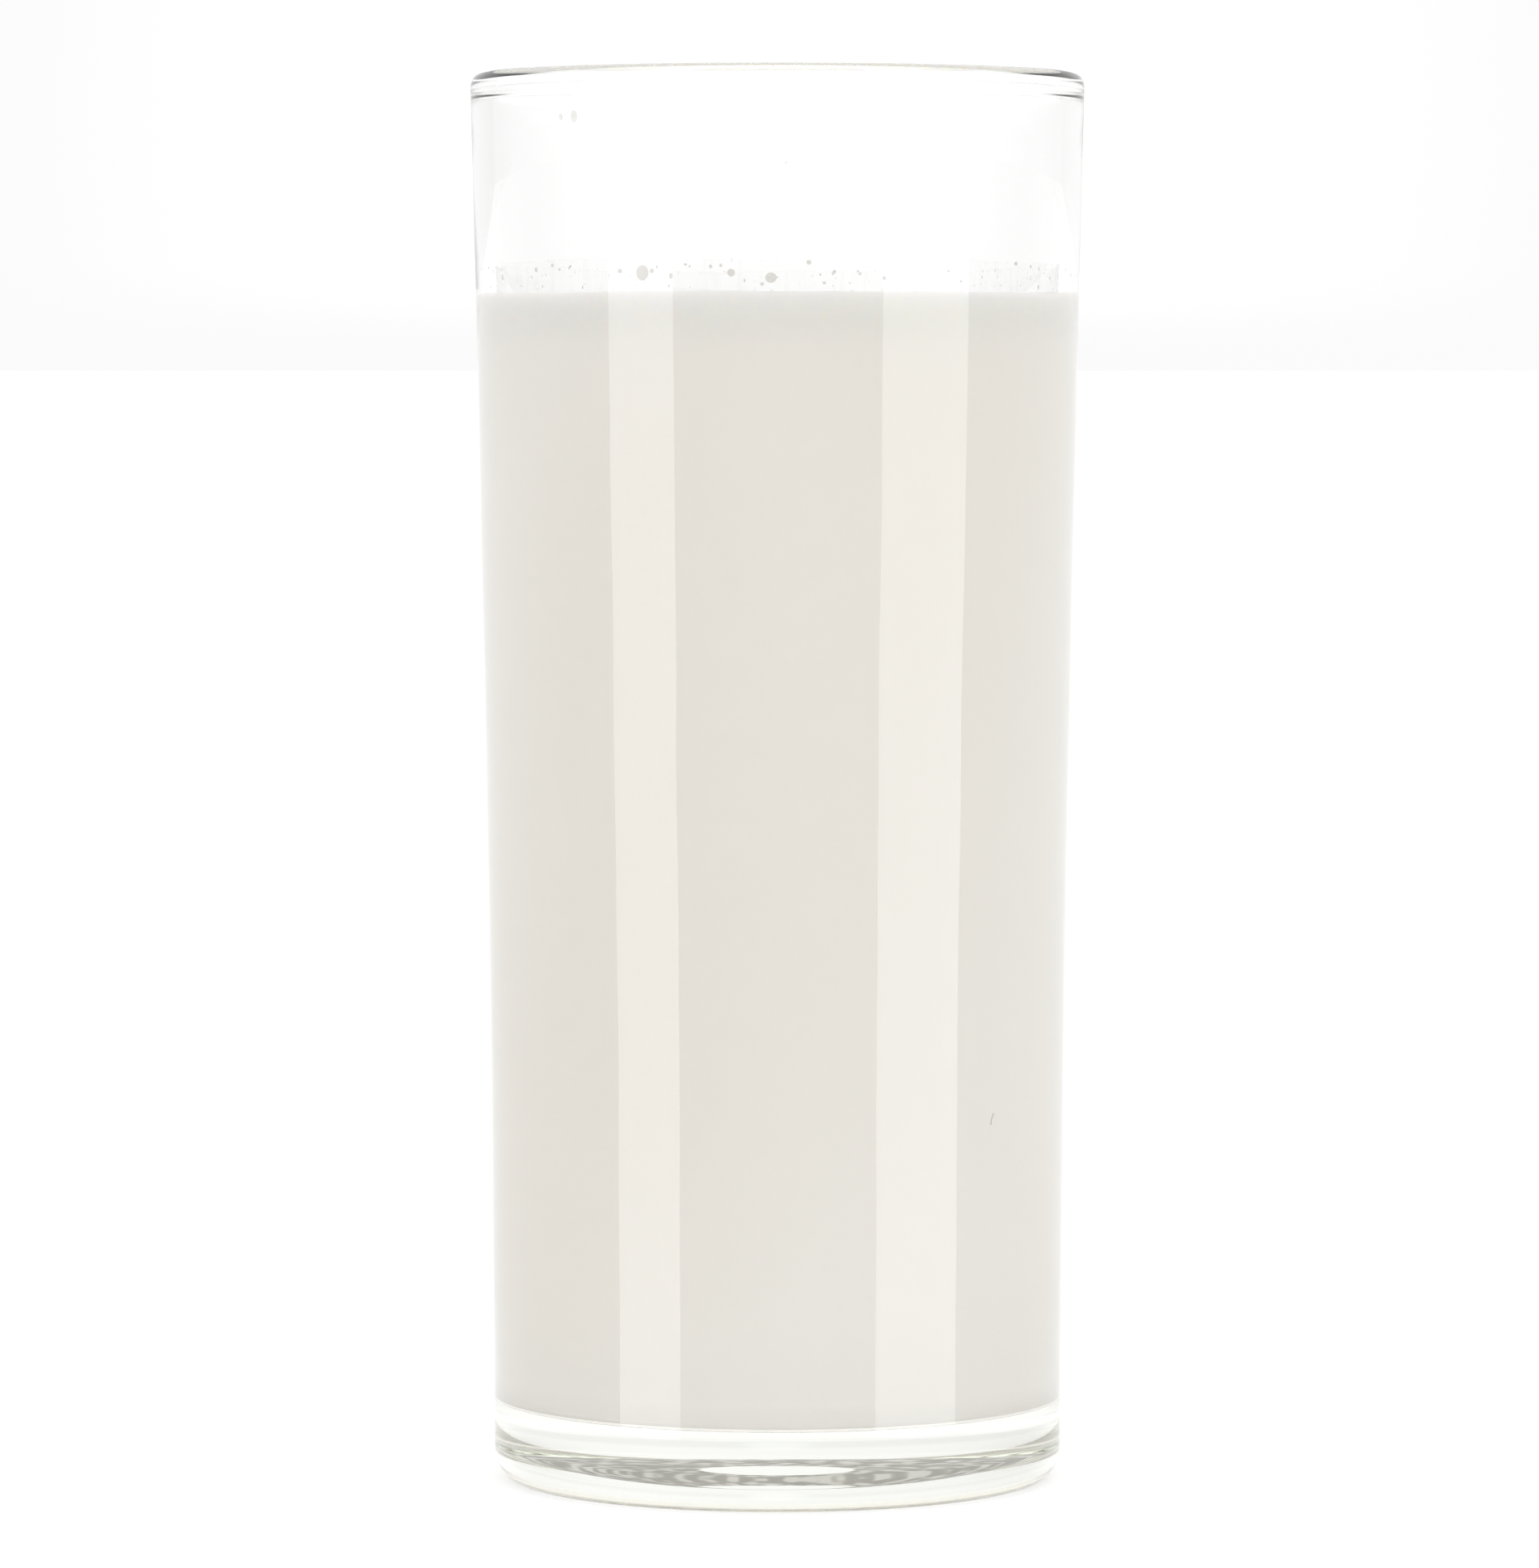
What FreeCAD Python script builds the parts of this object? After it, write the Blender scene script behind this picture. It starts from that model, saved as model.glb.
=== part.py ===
import FreeCAD, Part
import math
import os

# A long-drink tumbler of clear glass, filled with milk to about two fingers' breadth below the rim.
# Millimetres, +Z up. The origin is on the tumbler's axis, on the surface that the tumbler stands on.

# Tumbler, outside
HEIGHT = 142.5          # from the table to the top of the rim
RIM_RADIUS = 31.0       # at the rim, the widest place
FOOT_RADIUS = 28.8      # just above the rounded heel, where the wall is upright
KNEE_HEIGHT = 54.5      # where the upright line of the foot meets the line of the flared wall above
HEEL_REACH = 2.3        # how far the heel's rounding comes in from the foot
HEEL_HEIGHT = 3.8       # how far it goes up
RING_WIDTH = 2.2        # flat ring that the tumbler rests on
PUNT_DEPTH = 1.95       # hollow under the base, at its middle
PUNT_SLOPE = 3.6        # from the ring inwards to where the hollow levels off
PUNT_FLAT = 11.0        # radius within which the hollow is nearly flat

# Tumbler, wall, rim and inside
RIM_THICKNESS = 2.4     # fire-polished bead
RIM_ROUND = 1.6         # height of the bead's rounding
BEAD_BLEND = 1.4        # height over which the bead runs out into the wall
WALL_THICKNESS = 2.0    # just below the bead
FOOT_THICKNESS = 2.3    # just above the inside corner
FLOOR_HEIGHT = 7.8      # inside floor, above the table
CORNER_RADIUS = 3.0     # between the inside floor and the wall

# Milk
FREE_SPACE = 23.1       # from the milk's flat surface up to the top of the rim
MENISCUS_RISE = 0.9     # how far the milk climbs the wall
MENISCUS_WIDTH = 2.2    # width of the band in which it climbs

AXIS_FOOT = FreeCAD.Vector(0, 0, 0)
AXIS_UP = FreeCAD.Vector(0, 0, 1)
FULL_TURN = 360
ELLIPSE_WEIGHT = math.sqrt(0.5)     # makes a quadratic curve an exact quarter of an ellipse


def at(radius, height):
    """A point of a profile, in the half plane that is turned about the axis."""
    return FreeCAD.Vector(radius, 0, height)


def line(start, end):
    return Part.LineSegment(start, end).toShape()


def curve(poles):
    """A smooth curve from the first pole to the last that leaves and arrives along its outer legs."""
    bezier = Part.BezierCurve()
    bezier.setPoles(poles)
    return bezier.toShape()


def quarter(start, corner, end):
    """A quarter of an ellipse that touches start-corner at start and corner-end at end."""
    bezier = Part.BezierCurve()
    bezier.setPoles([start, corner, end])
    bezier.setWeight(2, ELLIPSE_WEIGHT)
    return bezier.toShape()


def turned(edges):
    """The solid that a closed profile sweeps out in a full turn about the axis."""
    return Part.Face(Part.Wire(edges)).revolve(AXIS_FOOT, AXIS_UP, FULL_TURN)


def share_at(flare, height):
    """How far along a flare, from 0 to 1, the given height is reached."""
    foot, knee, top = flare
    bend = foot.z - 2 * knee.z + top.z
    rise = 2 * (knee.z - foot.z)
    drop = foot.z - height
    return -2 * drop / (rise + math.sqrt(rise * rise - 4 * bend * drop))


def lower_part(flare, height):
    """The poles of the part of a flare that lies below a height."""
    share = share_at(flare, height)
    foot, knee, top = flare
    low_leg = foot + (knee - foot) * share
    high_leg = knee + (top - knee) * share
    return [foot, low_leg, low_leg + (high_leg - low_leg) * share]


# The wall leaves its foot upright and bends outwards to a slight taper: a flare is its foot, knee and top.
RIM_BASE = HEIGHT - RIM_ROUND
WALL_TOP = RIM_BASE - BEAD_BLEND
OUTER_FLARE = [
    at(FOOT_RADIUS, HEEL_HEIGHT),
    at(FOOT_RADIUS, KNEE_HEIGHT),
    at(RIM_RADIUS, RIM_BASE),
]
OUTER_RADIUS_AT_WALL_TOP = lower_part(OUTER_FLARE, WALL_TOP)[-1].x
INNER_FOOT_RADIUS = FOOT_RADIUS - FOOT_THICKNESS
INNER_FLARE = [
    at(INNER_FOOT_RADIUS, FLOOR_HEIGHT + CORNER_RADIUS),
    at(INNER_FOOT_RADIUS, KNEE_HEIGHT),
    at(OUTER_RADIUS_AT_WALL_TOP - WALL_THICKNESS, WALL_TOP),
]


def floor_and_corner():
    """The inside floor from the axis outwards, and the rounding that carries it into the wall."""
    corner_start = at(INNER_FOOT_RADIUS - CORNER_RADIUS, FLOOR_HEIGHT)
    return [
        line(at(0, FLOOR_HEIGHT), corner_start),
        quarter(corner_start, at(INNER_FOOT_RADIUS, FLOOR_HEIGHT), INNER_FLARE[0]),
    ]


def bead():
    """From the inner wall over the rounded rim to the outer wall."""
    middle_radius = RIM_RADIUS - RIM_THICKNESS / 2
    bead_inside = at(RIM_RADIUS - RIM_THICKNESS, RIM_BASE)
    crown = at(middle_radius, HEIGHT)
    wall_end, knee = INNER_FLARE[2], INNER_FLARE[1]
    along_wall = (wall_end - knee) * (BEAD_BLEND / 2 / (wall_end.z - knee.z))
    return [
        curve([wall_end, wall_end + along_wall, bead_inside - at(0, BEAD_BLEND / 2), bead_inside]),
        quarter(bead_inside, at(bead_inside.x, HEIGHT), crown),
        quarter(crown, at(RIM_RADIUS, HEIGHT), OUTER_FLARE[2]),
    ]


def heel_and_underside():
    """From the outer wall round the heel, along the resting ring and up the dished punt to the axis."""
    ring_outer = FOOT_RADIUS - HEEL_REACH
    ring_inner = ring_outer - RING_WIDTH
    return [
        quarter(OUTER_FLARE[0], at(FOOT_RADIUS, 0), at(ring_outer, 0)),
        line(at(ring_outer, 0), at(ring_inner, 0)),
        curve([at(ring_inner, 0), at(ring_inner - PUNT_SLOPE, PUNT_DEPTH),
               at(PUNT_FLAT, PUNT_DEPTH), at(0, PUNT_DEPTH)]),
    ]


def tumbler():
    base_on_axis = line(at(0, PUNT_DEPTH), at(0, FLOOR_HEIGHT))
    inside = floor_and_corner() + [curve(INNER_FLARE)]
    outside = [curve(OUTER_FLARE)] + heel_and_underside()
    return turned(inside + bead() + outside + [base_on_axis])


def milk():
    """Fills the tumbler face to face up to its level, and climbs the wall in a narrow meniscus."""
    level = HEIGHT - FREE_SPACE
    wetted = lower_part(INNER_FLARE, level + MENISCUS_RISE)
    contact = wetted[-1]
    flat_edge = at(contact.x - MENISCUS_WIDTH, level)
    surface = [
        curve([contact, at(contact.x - MENISCUS_WIDTH / 3, level), flat_edge]),
        line(flat_edge, at(0, level)),
        line(at(0, level), at(0, FLOOR_HEIGHT)),
    ]
    return turned(floor_and_corner() + [curve(wetted)] + surface)


os.makedirs("parts", exist_ok=True)
for name, make in {"tumbler": tumbler, "milk": milk}.items():
    solid = make()
    solid.exportStep("parts/" + name + ".step")
    print(name, "valid", solid.isValid(), "volume", round(solid.Volume / 1000, 2), "ml")
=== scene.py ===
import math
import random

import bmesh
import bpy
from mathutils import Matrix, Vector


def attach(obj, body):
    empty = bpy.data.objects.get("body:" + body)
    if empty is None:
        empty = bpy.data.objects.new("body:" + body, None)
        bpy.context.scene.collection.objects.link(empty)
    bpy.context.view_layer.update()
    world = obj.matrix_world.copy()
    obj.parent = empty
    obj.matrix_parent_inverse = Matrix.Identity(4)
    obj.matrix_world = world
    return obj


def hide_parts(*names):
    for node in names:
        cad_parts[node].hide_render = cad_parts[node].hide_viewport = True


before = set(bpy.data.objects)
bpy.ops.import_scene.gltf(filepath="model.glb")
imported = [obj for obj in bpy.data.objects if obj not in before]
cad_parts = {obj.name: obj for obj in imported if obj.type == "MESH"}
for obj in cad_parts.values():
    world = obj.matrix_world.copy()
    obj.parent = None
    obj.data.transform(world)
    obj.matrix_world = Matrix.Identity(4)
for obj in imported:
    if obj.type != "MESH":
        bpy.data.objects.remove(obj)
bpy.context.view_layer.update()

MM = 0.001

# Tumbler, outside
HEIGHT = 142.5 * MM
RIM_RADIUS = 31.0 * MM
FOOT_RADIUS = 28.8 * MM
KNEE_HEIGHT = 54.5 * MM
HEEL_REACH = 2.3 * MM
HEEL_HEIGHT = 3.8 * MM
RING_WIDTH = 2.2 * MM
PUNT_DEPTH = 1.95 * MM
PUNT_SLOPE = 3.6 * MM
PUNT_FLAT = 11.0 * MM

# Tumbler, wall, rim and inside
RIM_THICKNESS = 2.4 * MM
RIM_ROUND = 1.6 * MM
BEAD_BLEND = 1.4 * MM
WALL_THICKNESS = 2.0 * MM
FOOT_THICKNESS = 2.3 * MM
FLOOR_HEIGHT = 7.8 * MM
CORNER_RADIUS = 3.0 * MM

# Milk
FREE_SPACE = 23.1 * MM
MENISCUS_RISE = 0.9 * MM
MENISCUS_WIDTH = 2.2 * MM
INTO_WALL = 0.06 * MM           # the milk reaches this far into the glass, so that no air gap shows
LEVEL = HEIGHT - FREE_SPACE
CONTACT = LEVEL + MENISCUS_RISE

AROUND = 320                    # steps of a full turn
SEED = 11


# ---------------------------------------------------------------- outlines

def at(radius, height):
    """A point of an outline, in the half plane that is turned about the axis."""
    return Vector((radius, 0.0, height))


def straight(start, end, steps):
    return [start.lerp(end, i / steps) for i in range(steps + 1)]


def curve(poles, steps):
    """A smooth curve that leaves and arrives along its outer legs."""
    points = []
    for i in range(steps + 1):
        legs = list(poles)
        while len(legs) > 1:
            legs = [a.lerp(b, i / steps) for a, b in zip(legs, legs[1:])]
        points.append(legs[0])
    return points


def quarter(start, corner, end, steps):
    """A quarter of an ellipse that touches start-corner at start and corner-end at end."""
    centre = start + end - corner
    points = []
    for i in range(steps + 1):
        turn = math.pi / 2 * i / steps
        points.append(centre + (start - centre) * math.cos(turn) + (end - centre) * math.sin(turn))
    return points


def joined(*stretches):
    """One outline from stretches that meet end to end."""
    outline = list(stretches[0])
    for stretch in stretches[1:]:
        outline += stretch[1:]
    return outline


def share_at(flare, height):
    """How far along a flare, from 0 to 1, the given height is reached."""
    foot, knee, top = flare
    bend = foot.z - 2 * knee.z + top.z
    rise = 2 * (knee.z - foot.z)
    drop = foot.z - height
    return -2 * drop / (rise + math.sqrt(rise * rise - 4 * bend * drop))


def lower_part(flare, height):
    """The poles of the part of a flare that lies below a height."""
    share = share_at(flare, height)
    foot, knee, top = flare
    low_leg = foot.lerp(knee, share)
    high_leg = knee.lerp(top, share)
    return [foot, low_leg, low_leg.lerp(high_leg, share)]


RIM_BASE = HEIGHT - RIM_ROUND
WALL_TOP = RIM_BASE - BEAD_BLEND
OUTER_FLARE = [
    at(FOOT_RADIUS, HEEL_HEIGHT),
    at(FOOT_RADIUS, KNEE_HEIGHT),
    at(RIM_RADIUS, RIM_BASE),
]
OUTER_RADIUS_AT_WALL_TOP = lower_part(OUTER_FLARE, WALL_TOP)[-1].x
INNER_FOOT_RADIUS = FOOT_RADIUS - FOOT_THICKNESS
INNER_FLARE = [
    at(INNER_FOOT_RADIUS, FLOOR_HEIGHT + CORNER_RADIUS),
    at(INNER_FOOT_RADIUS, KNEE_HEIGHT),
    at(OUTER_RADIUS_AT_WALL_TOP - WALL_THICKNESS, WALL_TOP),
]


def inner_radius(height):
    return lower_part(INNER_FLARE, height)[-1].x


def outer_radius(height):
    return lower_part(OUTER_FLARE, height)[-1].x


# ---------------------------------------------------------------- making meshes

WELD = 0.002 * MM               # points nearer than this are one


def turned(outline, steps=AROUND, closed=False):
    """A bmesh of an outline turned once about the axis."""
    bm = bmesh.new()
    verts = [bm.verts.new(p) for p in outline]
    edges = [bm.edges.new(pair) for pair in zip(verts, verts[1:])]
    if closed:
        edges.append(bm.edges.new((verts[-1], verts[0])))
    bmesh.ops.spin(bm, geom=verts + edges, cent=(0, 0, 0), axis=(0, 0, 1), dvec=(0, 0, 0),
                   angle=math.tau, steps=steps, use_merge=True, use_duplicate=False)
    bmesh.ops.remove_doubles(bm, verts=bm.verts, dist=WELD)
    bmesh.ops.recalc_face_normals(bm, faces=bm.faces)
    return bm


def swell(angle, waves):
    """Sums waves round the axis, each given as its height, its count in a full turn and its start."""
    return sum(height * math.sin(count * angle + start) for height, count, start in waves)


def facing(azimuth_deg):
    """The outward and the rightward direction at an angle from the front, towards the right."""
    turn = math.radians(azimuth_deg)
    out = Vector((math.sin(turn), -math.cos(turn), 0.0))
    across = Vector((math.cos(turn), math.sin(turn), 0.0))
    return out, across


def finished(bm, name, *materials):
    """A smooth object made of a bmesh, at the origin."""
    mesh = bpy.data.meshes.new(name)
    bm.to_mesh(mesh)
    bm.free()
    mesh.polygons.foreach_set("use_smooth", [True] * len(mesh.polygons))
    for material in materials:
        mesh.materials.append(material)
    piece = bpy.data.objects.new(name, mesh)
    bpy.context.scene.collection.objects.link(piece)
    return piece


# ---------------------------------------------------------------- materials

GLASS_IOR = 1.51
MILK_IOR = 1.35
SKIN_IOR = 1.12                 # milk against glass mirrors hardly anything
WET_ROUGHNESS = 0.12
NOISE_MIDDLE = (0.35, 0.65)     # most values of a noise lie in here


def new_material(name):
    material = bpy.data.materials.new(name)
    material.use_nodes = True
    nodes = material.node_tree.nodes
    return material, nodes, material.node_tree.links, nodes["Principled BSDF"]


def noise(nodes, links, coords, scale, detail=2.0, stretch=(1, 1, 1)):
    mapping = nodes.new("ShaderNodeMapping")
    mapping.inputs["Scale"].default_value = stretch
    texture = nodes.new("ShaderNodeTexNoise")
    texture.inputs["Scale"].default_value = scale
    texture.inputs["Detail"].default_value = detail
    links.new(coords.outputs["Object"], mapping.inputs["Vector"])
    links.new(mapping.outputs["Vector"], texture.inputs["Vector"])
    return texture.outputs["Fac"]


def ramp(nodes, links, value, low, high, places=NOISE_MIDDLE):
    """Colours a value: low below the first place, high above the second, blended between."""
    node = nodes.new("ShaderNodeValToRGB")
    node.color_ramp.elements[0].position, node.color_ramp.elements[1].position = places
    node.color_ramp.elements[0].color = (*low, 1)
    node.color_ramp.elements[1].color = (*high, 1)
    links.new(value, node.inputs["Fac"])
    return node.outputs["Color"]


def blended(nodes, links, value, from_range, to_range):
    """Maps a value smoothly from one range to another."""
    node = nodes.new("ShaderNodeMapRange")
    node.interpolation_type = "SMOOTHSTEP"
    node.inputs["From Min"].default_value, node.inputs["From Max"].default_value = from_range
    node.inputs["To Min"].default_value, node.inputs["To Max"].default_value = to_range
    links.new(value, node.inputs["Value"])
    return node.outputs["Result"]


def math_node(nodes, links, operation, first, second):
    node = nodes.new("ShaderNodeMath")
    node.operation = operation
    for socket, value in zip(node.inputs, (first, second)):
        if isinstance(value, (int, float)):
            socket.default_value = value
        else:
            links.new(value, socket)
    return node.outputs["Value"]


def between(nodes, links, value, low, high, softness):
    """1 where a value lies between low and high, 0 elsewhere."""
    above = blended(nodes, links, value, (low - softness, low + softness), (0.0, 1.0))
    below = blended(nodes, links, value, (high - softness, high + softness), (1.0, 0.0))
    return math_node(nodes, links, "MULTIPLY", above, below)


def distance_from_axis(nodes, links, coords):
    flat = nodes.new("ShaderNodeVectorMath")
    flat.operation = "MULTIPLY"
    links.new(coords.outputs["Object"], flat.inputs[0])
    flat.inputs[1].default_value = (1, 1, 0)
    radius = nodes.new("ShaderNodeVectorMath")
    radius.operation = "LENGTH"
    links.new(flat.outputs["Vector"], radius.inputs[0])
    return radius.outputs["Value"]


def place_along(nodes, links, coords, axis):
    split = nodes.new("ShaderNodeSeparateXYZ")
    links.new(coords.outputs["Object"], split.inputs["Vector"])
    return split.outputs[axis]


DISC_RADIUS = 5.2 * MM          # smooth disc in the middle of the stippled underside
DISC_EDGE = 0.3 * MM
STIPPLE_ROUGHNESS = (0.42, 0.85)
STIPPLE_GRAIN = 900
STIPPLE_TOP = 3.0 * MM          # the underside lies below this height
GLASS_TINT = (0.93, 0.94, 0.90)
GLASS_TINT_DENSITY = 20.0


def underside_mask(nodes, links, coords):
    """1 on the stippled ring of the underside, 0 on the rest of the tumbler."""
    ring_inner = FOOT_RADIUS - HEEL_REACH - RING_WIDTH
    radius = distance_from_axis(nodes, links, coords)
    ring = between(nodes, links, radius, DISC_RADIUS, ring_inner, DISC_EDGE)
    height = place_along(nodes, links, coords, "Z")
    low = blended(nodes, links, height, (STIPPLE_TOP, FLOOR_HEIGHT - MM), (1.0, 0.0))
    return math_node(nodes, links, "MULTIPLY", ring, low)


def clear_glass():
    material, nodes, links, shader = new_material("clear glass")
    shader.inputs["Base Color"].default_value = (1, 1, 1, 1)
    shader.inputs["IOR"].default_value = GLASS_IOR
    shader.inputs["Transmission Weight"].default_value = 1.0
    coords = nodes.new("ShaderNodeTexCoord")
    stippled = underside_mask(nodes, links, coords)
    grain = noise(nodes, links, coords, STIPPLE_GRAIN, 0.0)
    uneven = blended(nodes, links, grain, NOISE_MIDDLE, STIPPLE_ROUGHNESS)
    rough = math_node(nodes, links, "MULTIPLY", stippled, uneven)
    links.new(rough, shader.inputs["Roughness"])
    absorption = nodes.new("ShaderNodeVolumeAbsorption")
    absorption.inputs["Color"].default_value = (*GLASS_TINT, 1)
    absorption.inputs["Density"].default_value = GLASS_TINT_DENSITY
    links.new(absorption.outputs["Volume"], nodes["Material Output"].inputs["Volume"])
    return material


SCATTER_BY_COLOUR = (1.0, 0.8, 0.6)
SCATTER_REACH = 4.0 * MM


def scattering(shader):
    """Lets light spread a few millimetres inside the milk."""
    shader.inputs["Subsurface Weight"].default_value = 1.0
    shader.inputs["Subsurface Radius"].default_value = SCATTER_BY_COLOUR
    shader.inputs["Subsurface Scale"].default_value = SCATTER_REACH


# the milk against the glass is coloured lighter than the milk in air: painted light that makes up for the
# light it misses behind the glass
SKIN_TONES_PAINTED_LIGHTER = (0.965, 0.935, 0.875), (0.985, 0.96, 0.91)
SKIN_CLOUD = 28
SURFACE_TONES = (0.90, 0.875, 0.82), (0.92, 0.90, 0.85)
SURFACE_CLOUD = 40
DROP_COLOUR = (0.93, 0.90, 0.86)
DROP_ROUGHNESS = 0.35
THIN_DROP_COLOUR = (0.85, 0.82, 0.76)
THIN_DROP_ROUGHNESS = 0.3
THIN_DROP_ALPHA = 0.2
UNDER_FACE = 0.03 * MM          # only what is this near the milk's flat underside mirrors
PAINTED_HIGHLIGHT_BAND = (0.05 * MM, 0.32 * MM)      # painted highlight: the milk glows in this band of the corner round its foot, where light gathers
PAINTED_HIGHLIGHT_BLUR = 0.03 * MM
PAINTED_HIGHLIGHT_GLOW = 0.30
PAINTED_HIGHLIGHT_COLOUR = (1.0, 0.99, 0.96)
LIT_FROM_ABOVE = 6 * MM         # light that enters the surface spreads this far down the side


def milk_under_glass():
    material, nodes, links, shader = new_material("milk against glass")
    coords = nodes.new("ShaderNodeTexCoord")
    cloud = noise(nodes, links, coords, SKIN_CLOUD, 0.0, (1, 1, 0.5))
    # painted lighter than the milk in air, as painted light
    colour = ramp(nodes, links, cloud, *SKIN_TONES_PAINTED_LIGHTER)
    links.new(colour, shader.inputs["Base Color"])
    shader.inputs["Roughness"].default_value = WET_ROUGHNESS
    shader.inputs["IOR"].default_value = SKIN_IOR
    height = place_along(nodes, links, coords, "Z")
    from_glass = nodes.new("ShaderNodeFresnel")
    from_glass.inputs["IOR"].default_value = MILK_IOR / GLASS_IOR
    flat = blended(nodes, links, height, (FLOOR_HEIGHT - UNDER_FACE, FLOOR_HEIGHT), (1.0, 0.0))
    links.new(math_node(nodes, links, "MULTIPLY", from_glass.outputs["Fac"], flat), shader.inputs["Metallic"])
    # a painted highlight: a band of glow along the milk's foot
    painted_highlight_foot, painted_highlight_top = (FLOOR_HEIGHT + above for above in PAINTED_HIGHLIGHT_BAND)
    painted_highlight = between(nodes, links, height, painted_highlight_foot, painted_highlight_top, PAINTED_HIGHLIGHT_BLUR)
    shader.inputs["Emission Color"].default_value = (*PAINTED_HIGHLIGHT_COLOUR, 1)
    links.new(math_node(nodes, links, "MULTIPLY", painted_highlight, PAINTED_HIGHLIGHT_GLOW), shader.inputs["Emission Strength"])
    near_top = blended(nodes, links, height, (CONTACT - LIT_FROM_ABOVE, CONTACT), (0.0, 1.0))
    scattering(shader)
    links.new(near_top, shader.inputs["Subsurface Weight"])
    return material


def milk_drop_look():
    """Small beads of milk, too thin to be as white as the drink."""
    material, nodes, links, shader = new_material("milk drops")
    shader.inputs["Base Color"].default_value = (*DROP_COLOUR, 1)
    shader.inputs["Roughness"].default_value = DROP_ROUGHNESS
    shader.inputs["IOR"].default_value = SKIN_IOR
    return material


def thin_drop_look():
    """The drops high on the wall are thinned milk, mostly see-through."""
    material, nodes, links, shader = new_material("thin drops")
    shader.inputs["Base Color"].default_value = (*THIN_DROP_COLOUR, 1)
    shader.inputs["Roughness"].default_value = THIN_DROP_ROUGHNESS
    shader.inputs["IOR"].default_value = SKIN_IOR
    shader.inputs["Alpha"].default_value = THIN_DROP_ALPHA
    return material


def milk_surface():
    material, nodes, links, shader = new_material("milk in air")
    coords = nodes.new("ShaderNodeTexCoord")
    cloud = noise(nodes, links, coords, SURFACE_CLOUD, 2.0)
    colour = ramp(nodes, links, cloud, *SURFACE_TONES)
    links.new(colour, shader.inputs["Base Color"])
    shader.inputs["Roughness"].default_value = WET_ROUGHNESS
    shader.inputs["IOR"].default_value = MILK_IOR
    scattering(shader)
    return material


# ---------------------------------------------------------------- tumbler

def tumbler_outline():
    corner_start = at(INNER_FOOT_RADIUS - CORNER_RADIUS, FLOOR_HEIGHT)
    corner = at(INNER_FOOT_RADIUS, FLOOR_HEIGHT)
    wall_end, knee = INNER_FLARE[2], INNER_FLARE[1]
    along_wall = (wall_end - knee) * (BEAD_BLEND / 2 / (wall_end.z - knee.z))
    bead_inside = at(RIM_RADIUS - RIM_THICKNESS, RIM_BASE)
    crown = at(RIM_RADIUS - RIM_THICKNESS / 2, HEIGHT)
    ring_outer = FOOT_RADIUS - HEEL_REACH
    ring_inner = ring_outer - RING_WIDTH
    return joined(
        straight(at(0, FLOOR_HEIGHT), corner_start, 4),
        quarter(corner_start, corner, INNER_FLARE[0], 16),
        curve(INNER_FLARE, 20),
        curve([wall_end, wall_end + along_wall, bead_inside - at(0, BEAD_BLEND / 2), bead_inside], 12),
        quarter(bead_inside, at(bead_inside.x, HEIGHT), crown, 26),
        quarter(crown, at(RIM_RADIUS, HEIGHT), OUTER_FLARE[2], 26),
        curve(OUTER_FLARE[::-1], 40),
        quarter(OUTER_FLARE[0], at(FOOT_RADIUS, 0), at(ring_outer, 0), 20),
        straight(at(ring_outer, 0), at(ring_inner, 0), 3),
        curve([at(ring_inner, 0), at(ring_inner - PUNT_SLOPE, PUNT_DEPTH), at(PUNT_FLAT, PUNT_DEPTH),
               at(0, PUNT_DEPTH)], 24),
    )


WAVE_DEPTH = 0.05 * MM          # the outside of the wall is faintly uneven
WALL_WAVES = (                  # each: share of the depth, waves up the wall, waves round it, start
    (0.5, 11, 2, 0.7),
    (0.3, 23, -3, 2.0),
    (0.2, 37, 5, 0.0),
)


def wall_wave(angle, height):
    """How far the outside of the wall stands out at a place: nothing at the heel and the rim."""
    share = (height - HEEL_HEIGHT) / (RIM_BASE - HEEL_HEIGHT)
    if not 0 < share < 1:
        return 0.0
    wave = sum(part * math.sin(up * share + around * angle + start) for part, up, around, start in WALL_WAVES)
    return WAVE_DEPTH * wave * math.sin(math.pi * share)


def make_tumbler():
    bm = turned(tumbler_outline())
    for vert in bm.verts:
        radius = math.hypot(vert.co.x, vert.co.y)
        if radius > outer_radius(vert.co.z) - WALL_THICKNESS / 2:
            stretch = 1 + wall_wave(math.atan2(vert.co.y, vert.co.x), vert.co.z) / radius
            vert.co.x *= stretch
            vert.co.y *= stretch
    piece = finished(bm, "tumbler_glass", clear_glass())
    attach(piece, "root")
    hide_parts("tumbler")


# ---------------------------------------------------------------- milk

def milk_outline():
    wetted = lower_part(INNER_FLARE, LEVEL + MENISCUS_RISE)
    contact = wetted[-1]
    flat_edge = at(contact.x - MENISCUS_WIDTH, LEVEL)
    corner_start = at(INNER_FOOT_RADIUS - CORNER_RADIUS, FLOOR_HEIGHT - INTO_WALL)
    corner = at(INNER_FOOT_RADIUS + INTO_WALL, FLOOR_HEIGHT - INTO_WALL)
    outward = at(INTO_WALL, 0)
    foot, leg, top = [p + outward for p in wetted]
    return joined(
        straight(at(0, FLOOR_HEIGHT - INTO_WALL), corner_start, 12),
        quarter(corner_start, corner, foot, 32),
        curve([foot, leg, top], 24),
        straight(top, contact, 1),
        curve([contact, at(contact.x - MENISCUS_WIDTH / 3, LEVEL), flat_edge], 12),
        straight(flat_edge, at(0, LEVEL), 16),
    )


CONTACT_WAVES = ((0.035, 3, 0.6), (0.030, 7, 2.1), (0.022, 17, 0.3), (0.014, 41, 1.7))


def contact_height(angle):
    """How much further up or down than usual the milk's edge stands at this angle."""
    return swell(angle, CONTACT_WAVES) * MM


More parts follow.
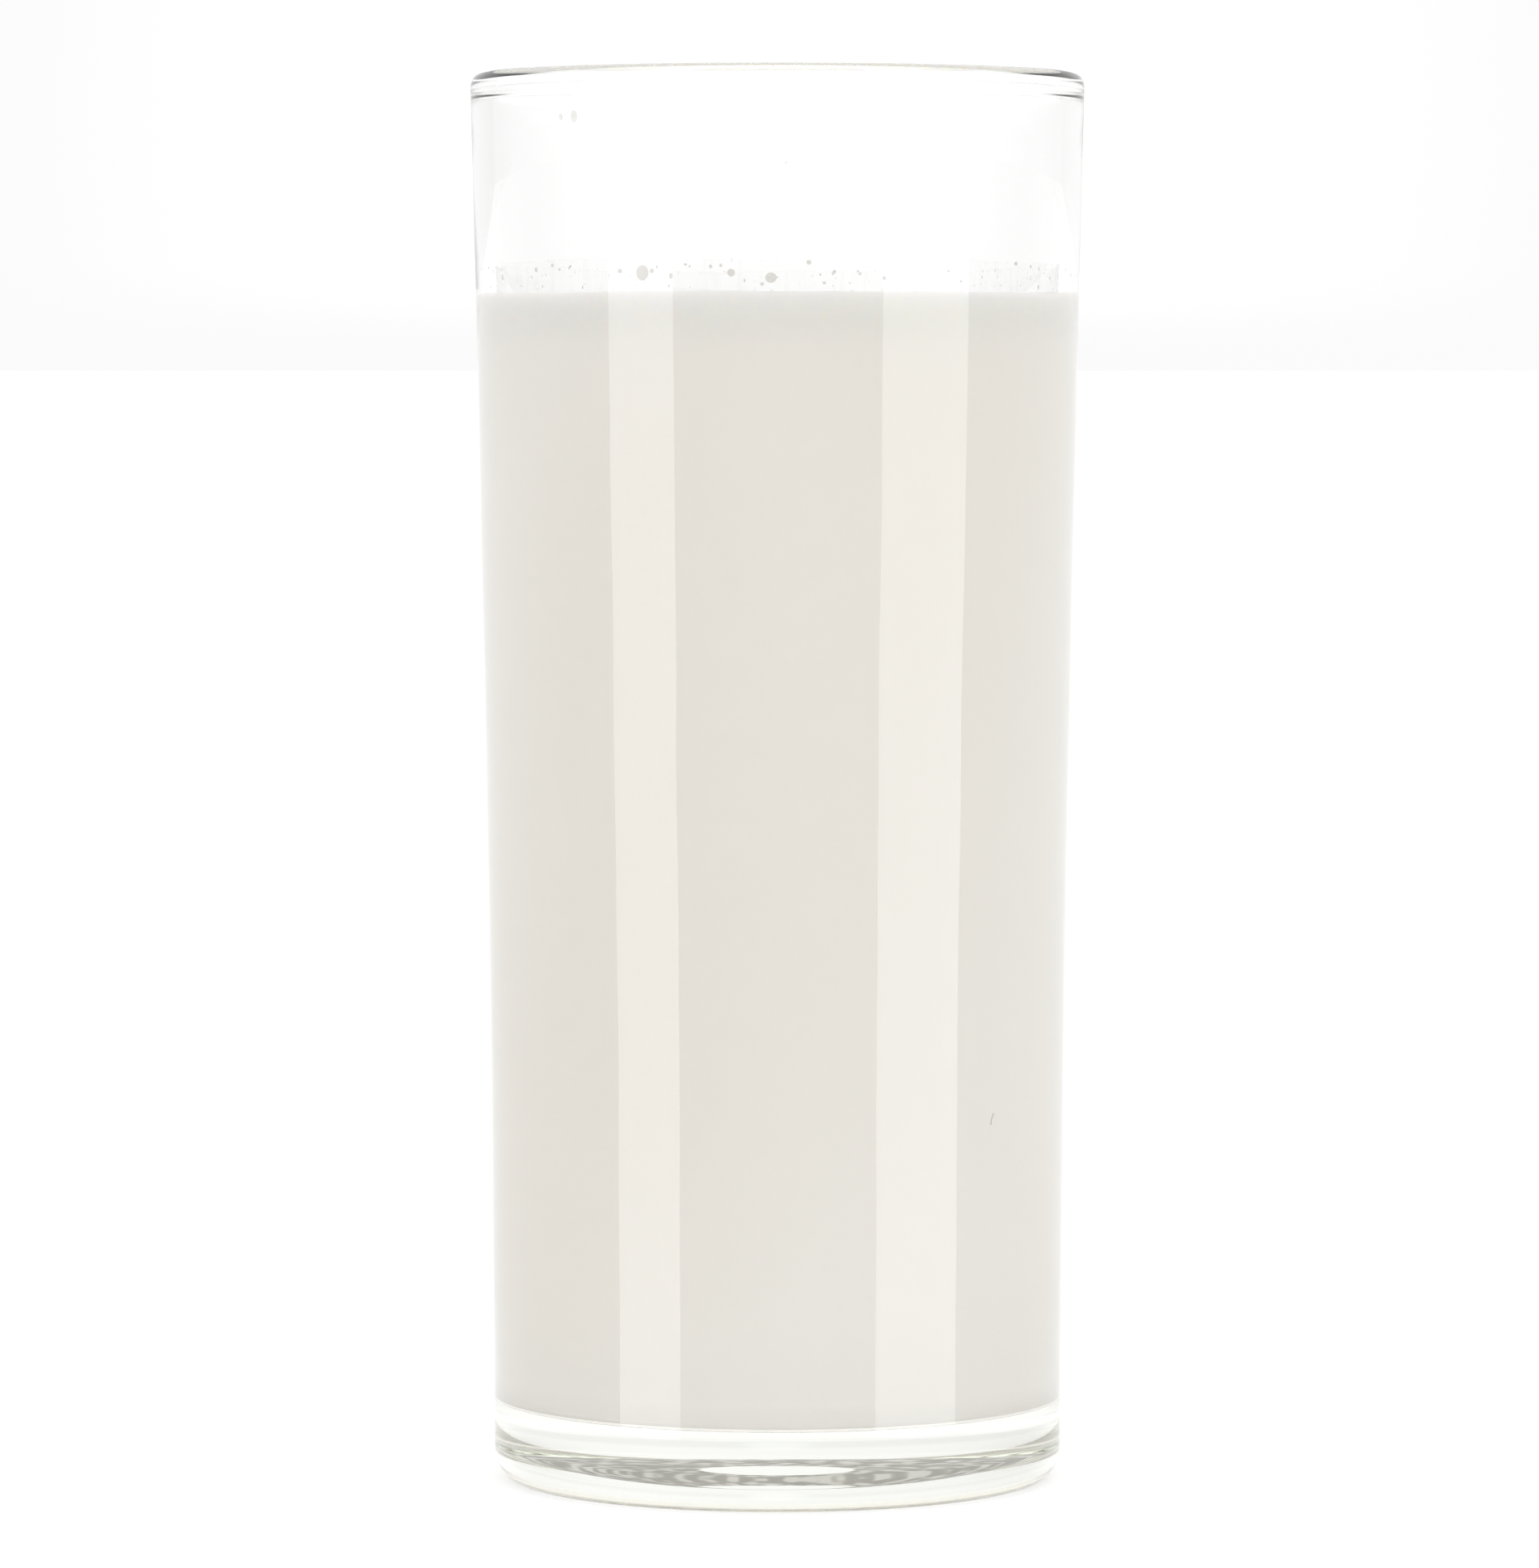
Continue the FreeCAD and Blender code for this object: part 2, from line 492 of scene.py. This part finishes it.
def make_milk():
    bm = turned(milk_outline())
    for vert in bm.verts:
        lift = (vert.co.z - LEVEL) / MENISCUS_RISE
        if lift > 0:
            vert.co.z += lift * contact_height(math.atan2(vert.co.y, vert.co.x))
    skin = milk_under_glass()
    surface = milk_surface()
    for face in bm.faces:
        face.material_index = 1 if face.normal.z > 0.05 and face.calc_center_median().z > LEVEL - MM else 0
    piece = finished(bm, "milk_drink", skin, surface)
    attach(piece, "root")
    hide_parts("milk")


# ---------------------------------------------------------------- milk left on the wall

FILM_RISE_FRONT = 3.2 * MM      # the film of milk reaches this far above the milk's edge
FILM_RISE_SIDE = 2.4 * MM
FILM_FOOT = 0.3 * MM            # and starts this far below it
FILM_THICKNESS = 0.05 * MM
FILM_GAP = 0.02 * MM
FILM_STEPS = 8
FILM_WAVES = ((0.10, 5, 1.1), (0.07, 13, 0.4), (0.05, 37, 2.6), (0.04, 71, 0.9))
FILM_COLOUR = (0.80, 0.78, 0.73)
STREAK_GRAIN = 900
STREAK_ALPHA = (0.02, 0.07)
SPECK_GRAIN = 1500
SPECK_ALPHA = (0.0, 0.10)


def milk_film_look():
    """A trace of milk that hardly clouds the glass, in upright streaks towards its ends."""
    material, nodes, links, shader = new_material("milk film")
    shader.inputs["Base Color"].default_value = (*FILM_COLOUR, 1)
    shader.inputs["Roughness"].default_value = 0.6
    shader.inputs["IOR"].default_value = 1.1
    coords = nodes.new("ShaderNodeTexCoord")
    streaks = noise(nodes, links, coords, STREAK_GRAIN, 2.0, (1, 1, 0.12))
    specks = noise(nodes, links, coords, SPECK_GRAIN, 2.0, (1, 1, 0.7))
    streaky = blended(nodes, links, streaks, (0.50, 0.80), STREAK_ALPHA)
    speckled = blended(nodes, links, specks, (0.66, 0.76), SPECK_ALPHA)
    links.new(math_node(nodes, links, "ADD", streaky, speckled), shader.inputs["Alpha"])
    return material


def film_rise(angle):
    """The film's height at an angle: tallest towards the front, with an uneven edge."""
    frontness = 0.5 - 0.5 * math.sin(angle)
    return FILM_RISE_SIDE + (FILM_RISE_FRONT - FILM_RISE_SIDE) * frontness + swell(angle, FILM_WAVES) * MM


def make_film():
    foot = CONTACT - FILM_FOOT
    tallest = FILM_RISE_FRONT + FILM_FOOT
    heights = [foot + tallest * i / FILM_STEPS for i in range(FILM_STEPS + 1)]
    outside = [at(inner_radius(height) - FILM_GAP, height) for height in heights]
    inside = [p - at(FILM_THICKNESS, 0) for p in outside[-2::-1]]
    bm = turned(outside + inside, closed=True)
    for vert in bm.verts:
        share = (vert.co.z - foot) / tallest
        angle = math.atan2(vert.co.y, vert.co.x)
        vert.co.z = foot + share * (FILM_FOOT + film_rise(angle))
    piece = finished(bm, "milk_film", milk_film_look())
    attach(piece, "root")


# Drops of milk on the inside of the wall: degrees from the front, towards the right,
# then millimetres above the milk's edge, width and height
DROPS = [
    (-67, 1.5, 0.35, 0.60), (-54, 2.2, 0.35, 0.50), (-49, 2.6, 0.35, 0.35), (-47, 2.2, 0.30, 0.30),
    (-44, 2.5, 0.25, 0.30), (-32, 2.0, 0.50, 0.45), (-27, 1.8, 1.30, 1.50), (-25, 2.0, 0.45, 0.45),
    (-21, 1.5, 0.35, 0.60), (-18, 2.6, 0.35, 0.20), (-13, 2.4, 0.33, 0.33), (-11, 2.5, 0.28, 0.33),
    (-9, 1.8, 0.75, 0.75), (-3, 0.7, 0.35, 0.35), (-1.3, 1.3, 1.10, 1.00), (6, 2.8, 0.45, 0.45),
    (9, 0.8, 0.33, 0.30), (11, 1.9, 0.30, 0.35), (16, 1.7, 0.30, 0.28), (21, 1.3, 0.33, 0.38),
    (35, 2.0, 0.25, 0.25), (38, 1.0, 0.25, 0.25), (53, 2.8, 0.50, 0.40),
]
UPPER_DROPS = [(-42.3, 17.2, 0.75, 1.20), (-45.8, 17.2, 0.42, 0.60), (1.6, 12.5, 0.22, 0.24)]
SMALL_DROPS = 110
DROP_DEPTH = 0.30               # how far a drop stands out, as a share of its width


SMALL_DROP_WIDTH = (0.09, 0.22)
SMALL_DROP_ABOVE = (0.3, 2.6)
SMALL_DROP_STRETCH = (1.0, 2.0)
SMALL_DROP_SPREAD_DEG = 32      # about both sides of the glass, where most of them are


def add_drop(bm, azimuth_deg, above, width, height, roundness=3):
    """A flat-backed bead of milk that reaches just into the wall."""
    ball = bmesh.ops.create_icosphere(bm, subdivisions=roundness, radius=0.5)["verts"]
    depth = DROP_DEPTH * width * 2
    level = CONTACT + above
    out, across = facing(azimuth_deg)
    centre = out * inner_radius(level) + Vector((0.0, 0.0, level))
    for vert in ball:
        side, up, stand = vert.co
        stand = max(stand * depth, -INTO_WALL)
        vert.co = centre + across * side * width + Vector((0.0, 0.0, up * height)) - out * stand


def make_drops():
    pick = random.Random(SEED)
    bm = bmesh.new()
    for azimuth, above, width, height in DROPS:
        add_drop(bm, azimuth, above * MM, width * MM, height * MM)
    for i in range(SMALL_DROPS):
        side = 90 if i % 3 else -90
        azimuth = side + pick.gauss(0, SMALL_DROP_SPREAD_DEG) if i % 4 else pick.uniform(-180, 180)
        width = pick.uniform(*SMALL_DROP_WIDTH) * MM
        above = pick.uniform(*SMALL_DROP_ABOVE) * MM
        add_drop(bm, azimuth, above, width, width * pick.uniform(*SMALL_DROP_STRETCH), 2)
    bmesh.ops.recalc_face_normals(bm, faces=bm.faces)
    piece = finished(bm, "milk_drops", milk_drop_look())
    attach(piece, "root")


def make_upper_drops():
    bm = bmesh.new()
    for azimuth, above, width, height in UPPER_DROPS:
        add_drop(bm, azimuth, above * MM, width * MM, height * MM)
    bmesh.ops.recalc_face_normals(bm, faces=bm.faces)
    piece = finished(bm, "upper_drops", thin_drop_look())
    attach(piece, "root")


FIBRE_AZIMUTH = 47.0
FIBRE_HEIGHT = 38.3 * MM
FIBRE_LENGTH = 1.2 * MM
FIBRE_RADIUS = 0.04 * MM
FIBRE_STEPS = 8
FIBRE_LEAN_DEG = 20
FIBRE_BEND = 0.35
FIBRE_COLOUR = (0.42, 0.40, 0.37)


def make_fibre():
    """A tiny dark fibre that clings to the outside of the wall, slightly bent."""
    bm = bmesh.new()
    bmesh.ops.create_circle(bm, cap_ends=True, segments=6, radius=FIBRE_RADIUS)
    end = list(bm.faces)
    for _ in range(FIBRE_STEPS):
        grown = bmesh.ops.extrude_face_region(bm, geom=end)
        verts = [g for g in grown["geom"] if isinstance(g, bmesh.types.BMVert)]
        end = [g for g in grown["geom"] if isinstance(g, bmesh.types.BMFace)]
        bmesh.ops.translate(bm, verts=verts, vec=(0, 0, FIBRE_LENGTH / FIBRE_STEPS))
    turn = Matrix.Rotation(math.radians(FIBRE_AZIMUTH), 4, "Z")
    lean = turn @ Matrix.Rotation(math.radians(FIBRE_LEAN_DEG), 4, "Y")
    out, across = facing(FIBRE_AZIMUTH)
    centre = out * (outer_radius(FIBRE_HEIGHT) + FIBRE_RADIUS) + Vector((0.0, 0.0, FIBRE_HEIGHT))
    for vert in bm.verts:
        share = vert.co.z / FIBRE_LENGTH - 0.5
        bend = across * (FIBRE_BEND * FIBRE_LENGTH * share * share)
        vert.co = lean @ (vert.co - Vector((0.0, 0.0, FIBRE_LENGTH / 2))) + centre + bend
    bmesh.ops.recalc_face_normals(bm, faces=bm.faces)
    material, nodes, links, shader = new_material("dark fibre")
    shader.inputs["Base Color"].default_value = (*FIBRE_COLOUR, 1)
    shader.inputs["Roughness"].default_value = 0.8
    piece = finished(bm, "fibre", material)
    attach(piece, "root")


# ---------------------------------------------------------------- floor, light and camera

FLOOR_REACH = 60.0
FLOOR_TONE = 0.45
FLOOR_GLOW = 0.36               # the floor is a softly lit table top
PAINTED_SHADOW_GLOW = (0.36, 0.07)         # painted shadow: the floor glows less under the glass, more so away from the middle
PAINTED_SHADOW_SPREAD = (5 * MM, 15 * MM)
PAINTED_SHADOW_RADIUS = 21.5 * MM
PAINTED_HEEL_LIGHT = 0.85                # painted light: brighter where the heel gathers light, on the front only
PAINTED_HEEL_LIGHT_RADIUS = 25.5 * MM
PAINTED_HEEL_LIGHT_BLUR = 1.2 * MM
PAINTED_HEEL_LIGHT_FRONT = (-20 * MM, 0.0)
PAINTED_POOL_GLOW = 0.13                # and a painted pool of light around the foot
PAINTED_POOL_RADIUS = 200 * MM


def make_floor():
    bm = bmesh.new()
    bmesh.ops.create_grid(bm, x_segments=1, y_segments=1, size=FLOOR_REACH)
    material, nodes, links, shader = new_material("pale floor")
    coords = nodes.new("ShaderNodeTexCoord")
    radius = distance_from_axis(nodes, links, coords)
    floor_and_pool_near_foot = FLOOR_GLOW + PAINTED_POOL_GLOW
    # a painted shadow under the glass, then the table's glow around it
    painted_shadow = blended(nodes, links, radius, PAINTED_SHADOW_SPREAD, PAINTED_SHADOW_GLOW)
    table = blended(nodes, links, radius, (PAINTED_SHADOW_RADIUS, PAINTED_HEEL_LIGHT_RADIUS), (0.0, floor_and_pool_near_foot))
    # the painted pool of light fades away from the foot
    painted_pool_fade = blended(nodes, links, radius, (FOOT_RADIUS, PAINTED_POOL_RADIUS), (0.0, -PAINTED_POOL_GLOW))
    # a painted ring of light on the floor where the heel gathers light, in front only
    heel_light_start, heel_light_end = PAINTED_HEEL_LIGHT_RADIUS - MM, FOOT_RADIUS - RING_WIDTH
    painted_heel_light = between(nodes, links, radius, heel_light_start, heel_light_end, PAINTED_HEEL_LIGHT_BLUR)
    depth = place_along(nodes, links, coords, "Y")
    in_front = blended(nodes, links, depth, PAINTED_HEEL_LIGHT_FRONT, (PAINTED_HEEL_LIGHT - floor_and_pool_near_foot, 0.0))
    painted_heel_light = math_node(nodes, links, "MULTIPLY", painted_heel_light, in_front)
    glow = painted_shadow
    for part in (table, painted_pool_fade, painted_heel_light):
        glow = math_node(nodes, links, "ADD", glow, part)
    cloud = noise(nodes, links, coords, 3, 2.0)
    tone = blended(nodes, links, cloud, (0.3, 0.7), (FLOOR_TONE - 0.01, FLOOR_TONE + 0.01))
    links.new(tone, shader.inputs["Base Color"])
    links.new(glow, shader.inputs["Emission Strength"])
    shader.inputs["Roughness"].default_value = 1.0
    shader.inputs["Specular IOR Level"].default_value = 0.0
    shader.inputs["Emission Color"].default_value = (1, 1, 1, 1)
    floor = finished(bm, "floor", material)


FRONT_LIGHT = 1.12              # radiance of the surround behind the camera
BACK_LIGHT = 0.965              # and at the horizon behind the glass
SIDE_LIGHT = 0.26               # more at both sides in front, less behind
LEAN_LIGHT = 0.03               # more on the right, less on the left
HIGH_LIGHT = 0.08               # more above the horizon
SKY_LIGHT = 1.25                # straight above
GLOW_LIGHT = 1.04               # in the glow right behind the glass

# Where each of these changes: parts of a direction of length one, across, back or up
FRONT_TO_BACK = (-0.7, 0.9)
MIDDLE_TO_SIDE = (0.3, 1.0)
SIDE_FADES = (0.0, 0.7)
SIDE_SHARE = (1.0, -0.4)
ABOVE_HORIZON = (0.05, 0.11)
HORIZON_TO_TOP = (0.15, 0.9)
GLOW_CENTRE = (0.0, 1.0, 0.03)
GLOW_REACH = (0.035, 0.11)
GLOW_RISES = (0.0, 0.012)


def make_world():
    """A soft white surround: brightest above, then in front, with a faint glow behind the glass."""
    world = bpy.data.worlds.new("studio")
    bpy.context.scene.world = world
    world.use_nodes = True
    nodes = world.node_tree.nodes
    links = world.node_tree.links
    coords = nodes.new("ShaderNodeTexCoord")
    split = nodes.new("ShaderNodeSeparateXYZ")
    links.new(coords.outputs["Generated"], split.inputs["Vector"])
    across, back, up = (split.outputs[axis] for axis in "XYZ")
    round_light = blended(nodes, links, back, FRONT_TO_BACK, (FRONT_LIGHT, BACK_LIGHT))
    to_side = math_node(nodes, links, "ABSOLUTE", across, 0.0)
    side = blended(nodes, links, to_side, MIDDLE_TO_SIDE, (0.0, SIDE_LIGHT))
    side = math_node(nodes, links, "MULTIPLY", side, blended(nodes, links, back, SIDE_FADES, SIDE_SHARE))
    lean = blended(nodes, links, across, (-1.0, 1.0), (-LEAN_LIGHT, LEAN_LIGHT))
    high = blended(nodes, links, up, ABOVE_HORIZON, (0.0, HIGH_LIGHT))
    for part in (side, lean, high):
        round_light = math_node(nodes, links, "ADD", round_light, part)
    sky = blended(nodes, links, up, HORIZON_TO_TOP, (0.0, SKY_LIGHT - BACK_LIGHT))
    off_centre = nodes.new("ShaderNodeVectorMath")
    off_centre.operation = "DISTANCE"
    links.new(coords.outputs["Generated"], off_centre.inputs[0])
    off_centre.inputs[1].default_value = GLOW_CENTRE
    glow = blended(nodes, links, off_centre.outputs["Value"], GLOW_REACH, (GLOW_LIGHT - BACK_LIGHT, 0.0))
    rising = blended(nodes, links, up, GLOW_RISES, (0.0, 1.0))
    glow = math_node(nodes, links, "MULTIPLY", glow, rising)
    total = math_node(nodes, links, "ADD", math_node(nodes, links, "ADD", round_light, sky), glow)
    links.new(total, nodes["Background"].inputs["Strength"])
    nodes["Background"].inputs["Color"].default_value = (1, 1, 1, 1)


CARD_DISTANCE = 81 * MM
CARD_HEIGHT = 300 * MM
CARDS = (                       # each: name, degrees from the camera towards the right, width, power
    ("card_left", -44.0, 32.5 * MM, 0.07),
    ("card_right", 48.6, 45 * MM, 0.095),
)


def make_card(name, azimuth_deg, width, power):
    """A tall soft box beside the glass, which is only seen mirrored in it."""
    light = bpy.data.lights.new(name, "AREA")
    light.shape = "RECTANGLE"
    light.size = width
    light.size_y = CARD_HEIGHT
    light.energy = power
    card = bpy.data.objects.new(name, light)
    bpy.context.scene.collection.objects.link(card)
    turn = math.radians(azimuth_deg)
    card.location = (CARD_DISTANCE * math.sin(turn), -CARD_DISTANCE * math.cos(turn), CARD_HEIGHT / 2)
    card.rotation_euler = (math.pi / 2, 0, turn)
    card.visible_camera = False
    card.visible_diffuse = False
    card.visible_transmission = False


EYE_HEIGHT = 114 * MM
EYE_DISTANCE = 834 * MM
EYE_ASIDE = -0.8 * MM
LENS = 189.0
SENSOR_WIDTH = 36.0
PITCH_DEG = 2.98


def make_camera():
    camera = bpy.data.cameras.new("camera")
    camera.sensor_width = SENSOR_WIDTH
    camera.lens = LENS
    camera.clip_start = 0.01
    eye = bpy.data.objects.new("camera", camera)
    eye.location = (EYE_ASIDE, -EYE_DISTANCE, EYE_HEIGHT)
    eye.rotation_euler = (math.radians(90 - PITCH_DEG), 0, 0)
    bpy.context.scene.collection.objects.link(eye)
    bpy.context.scene.camera = eye


def let_light_travel():
    """Light may pass through and round inside the glass many times before it is given up."""
    cycles = bpy.context.scene.cycles
    cycles.max_bounces = 24
    cycles.diffuse_bounces = 8
    cycles.glossy_bounces = 16
    cycles.transmission_bounces = 24


let_light_travel()
make_camera()
make_world()
make_floor()
for card in CARDS:
    make_card(*card)
bpy.context.scene.view_settings.view_transform = "Standard"
make_tumbler()
make_milk()
make_film()
make_drops()
make_upper_drops()
make_fibre()
